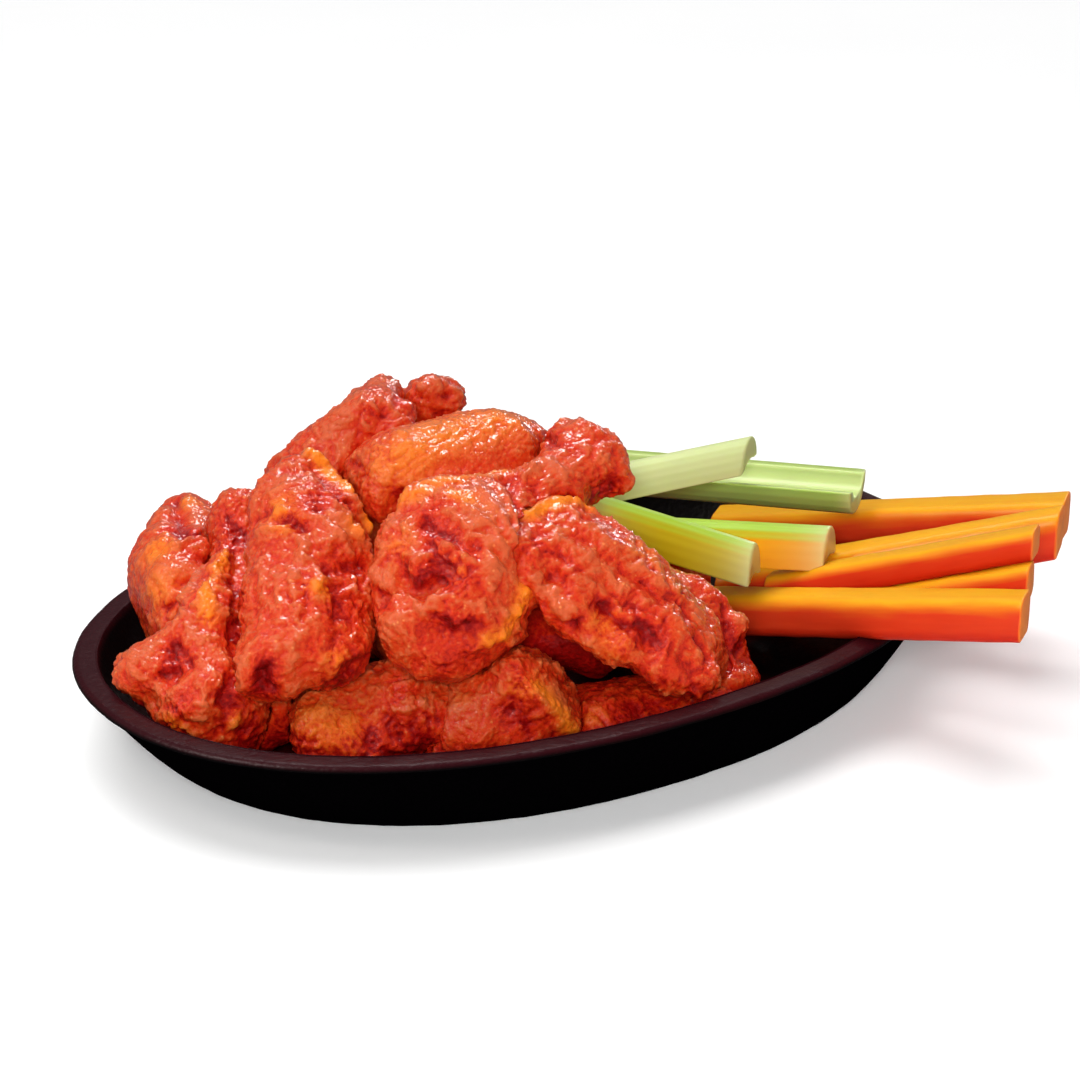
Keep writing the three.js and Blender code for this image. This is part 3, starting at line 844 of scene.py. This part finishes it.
        (-0.8, 1.7, [(-45, -56, 25), (-41, -60, 22), (-40, -60, 18)]),
        (1.3, 2.6, [(-49, -56, 19), (-52, -55, 17)]),
    ],
    "low_right": [
        (1.3, 3, [(-19, -57, 19), (-16, -60, 19)]),
        (-2, 4, [(-10, -66, 17), (-5, -65, 17)]),
        (1, 2, [(-22, -61, 17)]),
    ],
}

# Where butter has stained the skin orange, in rows of (share, reach, points).
BUTTER = {
    "front_left": [
        (0.9, 2.2, [(-54, 19, 70), (-50, 5, 64), (-48, -3, 57)]),
        (0.6, 4, [(-70, 6, 63), (-72, 0, 60)]),
        (0.6, 3.5, [(-58, -8, 58)]),
        (0.7, 2.6, [(-77, -21, 53), (-73, -22, 51)]),
        (0.6, 3.5, [(-78, -34, 38)]),
    ],
    "front_right": [
        (0.9, 2.4, [(-24, -37, 66), (-10, -35, 64), (-5, -36, 62)]),
        (0.4, 5, [(-19, -60, 43), (-18, -66, 40)]),
        (0.4, 4, [(-2, -52, 54), (6, -60, 46)]),
    ],
    "front_middle": [
        (0.7, 3, [(-47, -18, 67), (-36, -22, 72), (-21, -20, 69)]),
        (0.8, 2.6, [(-38, -31, 70), (-40, -28, 71)]),
        (0.4, 4, [(-56, -27, 60)]),
        (0.5, 2.6, [(-52, -42, 59), (-50, -44, 58)]),
        (0.8, 2.6, [(-47, -52, 42), (-42, -52, 42), (-37, -51, 47), (-34, -50, 51)]),
    ],
    "left_leaning": [
        (0.8, 2.6, [(-81, 18, 48), (-88, 10, 46), (-94, 2, 45), (-96, -2, 42)]),
        (0.6, 4, [(-111, -13, 23)]),
        (0.6, 2.4, [(-100, -22, 23)]),
    ],
    "left_back": [(0.8, 5, [(-89, 38, 44)]), (0.5, 7, [(-94, 28, 38)]), (0.6, 4, [(-70, 57, 46)])],
    "top": [
        (0.6, 9, [(-38, 2, 70), (-20, 3, 74), (-8, 0, 74)]),
        (0.5, 4, [(-40, 5, 71)]),
        (0.5, 3, [(-10, 1, 76)]),
    ],
    "low_left": [(0.5, 7, [(-84, -32, 22), (-78, -36, 20)])],
    "low_middle": [(0.7, 2.8, [(-39, -56, 29), (-34, -61, 23), (-29, -61, 17)])],
    "low_right": [(0.4, 3, [(-21, -60, 18)])],
}

ROUGH_STEP = 1.5  # of the mesh that the broad shapes are made on
FINE_STEP = 0.55  # of the mesh that the crust is made on
BROAD = 2.4  # strokes that reach at least this far are made on the rough mesh
STROKE_STEP = 1.5  # from one point of a stroke to the next
STROKE_GAIN = 1.2  # how much bolder each stroke is than its row says
HUMP = 2  # the power of a stroke's fall to its sides: a hump has a round top,
CREASE = 1.4  # and a crease a sharp bottom
BLISTER = 6.5  # how far apart the crust's cushions are, from the largest to the smallest
BUBBLE = 3.2
CRUMB = 1.7
FOLD = 3.0
GRIT = 1.2
PLAIN_SKIN = 0.46  # how thin the sauce lies there, where 0 is a deep crease and 1 a crest
POOL_TOP = 24  # sauce has run down to the platter, and lies thicker below this height
POOL_DEPTH = 0.4


def reshape(piece, step, smoothing):
    """Lays an even mesh over the piece, and evens out its facets."""
    skin = piece.modifiers.new("skin", "REMESH")
    skin.mode = "VOXEL"
    skin.voxel_size = step * MM
    ease = piece.modifiers.new("ease", "SMOOTH")
    ease.factor = 0.5
    ease.iterations = smoothing
    mesh = bpy.data.meshes.new_from_object(piece.evaluated_get(bpy.context.evaluated_depsgraph_get()))
    piece.modifiers.clear()
    piece.data = mesh


def lay_on(skin, line):
    """The line in short steps, each on the nearest point of the skin."""
    line = np.array(line, float)
    steps = [line[:1]]
    for a, b in zip(line, line[1:]):
        count = max(1, round(np.linalg.norm(b - a) / STROKE_STEP))
        steps.append(a + (b - a) * np.linspace(0, 1, count + 1)[1:, None])
    return np.array([skin[((skin - step) ** 2).sum(1).argmin()] for step in np.vstack(steps)])


def gap_to_line(points, line):
    """How far each point is from a line through the given ones, or from one of them alone."""
    gap = np.linalg.norm(points - line[0], axis=1)
    for a, b in zip(line, line[1:]):
        run = (b - a) @ (b - a)
        if run > 0:
            share = np.clip((points - a) @ (b - a) / run, 0, 1)
            gap = np.minimum(gap, np.linalg.norm(points - a - share[:, None] * (b - a), axis=1))
    return gap


def stroke(skin, wavered, line, reach, power):
    """The share of a stroke at each point: 1 on its line, and little at twice its reach."""
    line = lay_on(skin, line)
    near = ((skin > line.min(0) - 3 * reach) & (skin < line.max(0) + 3 * reach)).all(1)
    share = np.zeros(len(skin))
    share[near] = np.exp(-((gap_to_line(wavered[near], line) / reach) ** power))
    return share


def carve(skin, wavered, strokes):
    """How far the strokes move the skin."""
    move = np.zeros(len(skin))
    for lift, reach, line in strokes:
        move += lift * stroke(skin, wavered, line, reach, HUMP if lift > 0 else CREASE)
    return move


def crust(own, wing, seed):
    """How far the fried crust stands out at each point: cushions, folds across the bone, and grit."""
    where = np.clip(0.7 + 0.6 * swell(own, 15, seed), 0.15, 1.3) * wing["crag"]
    cushions = 0.6 * puffs(own, BLISTER, seed + 1) + 0.55 * puffs(own, BUBBLE, seed + 2)
    cushions += 0.35 * puffs(drift(own, 3, 0.8, seed + 5), CRUMB, seed + 6)
    folds = puffs(own * (1, 0.4, 0.4), FOLD, seed + 3) * wing.get("wrinkle", 0.4)
    grit = swell(own, GRIT, seed + 4)
    return where * cushions + 0.4 * folds + 0.22 * grit * (0.5 + wing["crag"])


def sauce_and_painted_shade(wing, points, relief, carved, sunk):
    """How thin the sauce lies, with painted light and shade: 0 in a deep crease, and 1 on a crest."""
    pool = POOL_DEPTH * np.clip(1 - points[:, 2] / POOL_TOP, 0, 1)
    # A wing that lies in shade is painted darker all over: painted shade.
    height = PLAIN_SKIN - wing.get("depth", 0) - pool
    # Crests lighter, and creases and hollows darker: partly thinner and thicker sauce, partly painted
    # light on the crests and painted shade in the creases and hollows.
    height += 0.3 * relief + 0.22 * carved + 0.06 * sunk + 0.04 * np.minimum(sunk, 0)
    return np.clip(height, 0, 1)


def butter(wing, points, own, relief, seed):
    """How much butter has stained each point: in the marked places, and a little anywhere."""
    # A wing that lies in shade shows less of the orange stain: painted shade.
    stain = 0.5 * swell(own, 9, seed) - 0.3 - wing.get("depth", 0)
    for share, reach, line in BUTTER.get(wing["name"], []):
        stain = np.maximum(stain, share * stroke(points, points, line, reach, HUMP))
    return np.clip(stain + 0.15 * relief, 0, 1)


def make_wing(wing, seed, material):
    """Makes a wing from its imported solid, and gives back the points of its skin."""
    node = "wing_" + wing["name"]
    piece = bpy.data.objects.new(node + "_fried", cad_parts[node].data.copy())
    bpy.context.collection.objects.link(piece)
    middle, _, axes = axes_of(wing["start"], wing["end"], wing.get("roll", 0))
    strokes = STROKES.get(wing["name"], [])
    broad = [s for s in strokes if s[1] >= BROAD]
    narrow = [s for s in strokes if s[1] < BROAD]

    # Swollen muscle and the broad strokes, on the rough mesh.
    reshape(piece, ROUGH_STEP, 7)
    points = vertices(piece.data)
    own = (points - middle) @ axes.T
    rise = 0.5 + (0.3 + 0.4 * wing["crag"]) * swell(drift(own, 14, 4, seed), 10, seed + 5)
    rise += STROKE_GAIN * carve(points, drift(points, 9, 0.8, seed + 7), broad)
    move_vertices(piece.data, points + normals(piece.data) * rise[:, None])

    # Narrow strokes and the crust, on the fine one.
    reshape(piece, wing.get("fine", FINE_STEP), 2)
    points = vertices(piece.data)
    own = drift((points - middle) @ axes.T, 8, 2.2, seed + 10)
    relief = crust(own, wing, seed + 20)
    carved = carve(points, drift(points, 5, wing.get("waver", 0.7), seed + 27), narrow)
    move = relief + STROKE_GAIN * carved
    move_vertices(piece.data, points + normals(piece.data) * move[:, None])

    piece.data.shade_smooth()
    piece.data.materials.clear()
    piece.data.materials.append(material)
    sunk = carve(points, points, broad)
    give(piece, "height", sauce_and_painted_shade(wing, points, relief, carved, sunk))
    give(piece, "amber", butter(wing, points, own, relief, seed + 30))
    place_piece(piece, "sauced_wing", node)
    return points


# ---- Sticks ------------------------------------------------------------------------------------

CARROTS = [
    {"name": "front", "start": (48, -14, 12), "end": (71.5, -114.5, 41.5), "wide": 14, "thick": 11.5},
    {"name": "middle", "start": (61, -6, 12), "end": (121, -76, 39.5), "wide": 13, "thick": 12.5},
    {"name": "back", "start": (88, 31, 12), "end": (131, -68, 39), "wide": 15, "thick": 11.5},
    {"name": "near_low", "start": (66, -36, 13.5), "end": (87, -100, 42), "wide": 11, "thick": 9.5},
    {"name": "upper", "start": (63, -25, 19), "end": (92, -96, 50), "wide": 11, "thick": 8},
]
# Roll turns a stalk's hollow down, hollow is how deep that is as a share of how thick the stalk is,
# pale is how much of the green has gone, and yellow how much of the shaded side is painted yellow,
# as a painted reflection of the carrots below.
CELERY = [
    {
        "name": "long", "start": (38, 47, 36), "end": (98, -20, 36.5), "wide": 20, "thick": 9,
        "hollow": 0.45, "pale": 0.25, "yellow": 0,
    },
    {
        "name": "top", "start": (8, 7, 48), "end": (72, -4, 50.5), "wide": 12, "thick": 8,
        "roll": 180, "hollow": 0.15, "pale": 0.75, "yellow": 0.2,
    },
    {
        "name": "low", "start": (25, -4, 37), "end": (74, -37, 33.5), "wide": 15, "thick": 10,
        "roll": 180, "hollow": 0.15, "pale": 0, "yellow": 1,
    },
    {
        "name": "front", "start": (15, -7, 47), "end": (49, -36, 34), "wide": 13, "thick": 10,
        "roll": 180, "hollow": 0.15, "pale": 0, "yellow": 0.5,
    },
]
CUT_FACES = (0.6, -0.8, 0)  # the sticks are cut on the bias, and their ends all face this way
STICK_RINGS = 60
CORNER = 0.32  # of a baton, as a share of how thick it is
EDGE = 0.7  # how far a cut end's edge is worn back
RIBS = 11  # of a stalk, round its back
RIB_HEIGHT = 0.005  # as a share of the stalk's own radius
BACK_POINTS = 65  # of a stalk's section, and the rest go round its hollow
HOLLOW_POINTS = 25
HOLLOW_WIDTH = 0.36  # from the middle, as a share of the stalk's width
PITH_REACH = 5  # how far the white of a cut end shows along the stalk


def rounded_box(wide, thick, corner, per_corner=6):
    """The section of a baton, counterclockwise seen from its start."""
    found = []
    for turn, (y, z) in enumerate([(1, 1), (-1, 1), (-1, -1), (1, -1)]):
        for k in range(per_corner):
            angle = math.pi / 2 * (turn + k / (per_corner - 1))
            found.append(
                (
                    y * (wide / 2 - corner) + corner * math.cos(angle),
                    z * (thick / 2 - corner) + corner * math.sin(angle),
                )
            )
    return np.array(found)


def stalk_section(wide, thick, hollow):
    """A celery stalk's section: a channel open upwards, with ribs along its back."""
    turn = np.linspace(math.pi, 2 * math.pi, BACK_POINTS)
    rib = 1 + RIB_HEIGHT * np.cos(turn * 2 * RIBS)
    outer = np.stack([np.cos(turn) * wide / 2 * rib, thick / 2 + np.sin(turn) * thick * rib], axis=1)
    back = np.linspace(2 * math.pi, math.pi, HOLLOW_POINTS)[1:-1]
    across = np.cos(back) * wide * HOLLOW_WIDTH
    inner = np.stack([across, thick / 2 + np.sin(back) * thick * hollow], axis=1)
    return np.vstack([outer, inner])


def sweep(stick, section):
    """The section in rings from start to end, in the stick's own frame, with its edges worn at the
    cut ends. Also gives the middle and the axes of that frame, and how far each point lies from
    the nearer end."""
    middle, span, axes = axes_of(stick["start"], stick["end"], stick.get("roll", 0))
    cut = axes @ np.array(CUT_FACES)
    worn_steps = EDGE * np.array([0, 0.15, 0.4, 0.7, 1])
    inner_steps = np.linspace(2, span - 2, STICK_RINGS)
    along = np.concatenate([worn_steps, inner_steps, span - worn_steps[::-1]])
    from_end = np.minimum(along, span - along)
    centre = section.mean(0)
    out = section - centre
    far = np.linalg.norm(out, axis=1, keepdims=True).clip(1)
    rings = []
    for x, gap in zip(along, from_end):
        shrink = EDGE - math.sqrt(EDGE**2 - max(0, EDGE - gap) ** 2)
        ring = centre + out * (1 - shrink / far)
        lean = ring @ cut[1:] / cut[0]
        rings.append(np.column_stack([x - span / 2 - lean, ring]))
    return np.array(rings), middle, axes, np.repeat(from_end, len(section))


def make_carrot(carrot, seed, material):
    """A baton with slightly uneven sides, as the knife left them."""
    section = rounded_box(carrot["wide"], carrot["thick"], CORNER * carrot["thick"])
    rings, middle, axes, from_end = sweep(carrot, section)
    points, faces = loft(rings)
    from_end = np.append(from_end, [0, 0])
    knife = 0.45 * swell(points * (0.1, 1, 1), 7, seed)
    knife += 0.15 * swell(points * (0.4, 1, 1), 3, seed + 1)
    out = points * (0, 1, 1)
    out /= np.linalg.norm(out, axis=1, keepdims=True).clip(0.1)
    own = points + out * knife[:, None]
    piece = mesh_piece("carrot_" + carrot["name"] + "_baton", own @ axes + middle, faces, material)
    give(piece, "along_piece", points * (0.12, 1, 1) * MM)
    give(piece, "cut", np.clip(1 - from_end / EDGE, 0, 1))
    place_piece(piece, "carrot", "carrot_" + carrot["name"])


def make_celery(celery, material):
    """A length of stalk. Its cut ends are flat, and its hollow and both ends show pith."""
    section = stalk_section(celery["wide"], celery["thick"], celery["hollow"])
    rings, middle, axes, from_end = sweep(celery, section)
    count, sides, _ = rings.shape
    points = rings.reshape(-1, 3)
    faces = side_faces(count, sides)
    faces.append(tuple(range(sides))[::-1])
    faces.append(tuple((count - 1) * sides + s for s in range(sides)))
    in_hollow = np.tile(np.arange(sides) >= BACK_POINTS, count)
    near_end = np.exp(-from_end / PITH_REACH)
    piece = mesh_piece("celery_" + celery["name"] + "_stalk", points @ axes + middle, faces, material)
    give(piece, "along_piece", points * (0.08, 1, 1) * MM)
    give(piece, "pith", np.maximum(np.maximum(0.5 * in_hollow, 0.6 * near_end), celery["pale"]))
    give(piece, "yellow", np.full(len(points), celery["yellow"]))
    place_piece(piece, "celery", "celery_" + celery["name"])


def lay_floor():
    """A wide plain floor, kept out of reflections so that the wet sauce doesn't turn grey."""
    half = FLOOR_SIZE / 2
    corners = [(-half, -half, 0), (half, -half, 0), (half, half, 0), (-half, half, 0)]
    floor = mesh_piece("floor", corners, [(0, 1, 2, 3)], studio_floor())
    floor.visible_glossy = False


# ---- The serving -------------------------------------------------------------------------------

set_camera()
set_light()

fried = hot_sauce_on_fried_skin()
skins = [make_wing(wing, 100 + 40 * i, fried) for i, wing in enumerate(WINGS)]

# Every 25th point of the low skin is enough to tell how far the platter's iron is from a wing.
low_skin = np.vstack([skin[skin[:, 2] < 14] for skin in skins])[::25]
make_platter(seasoned_cast_iron(), sooted_cast_iron(), low_skin)

carrot_flesh = cut_carrot()
for i, carrot in enumerate(CARROTS):
    make_carrot(carrot, 900 + 10 * i, carrot_flesh)

stalk = cut_celery()
for celery in CELERY:
    make_celery(celery, stalk)

lay_floor()
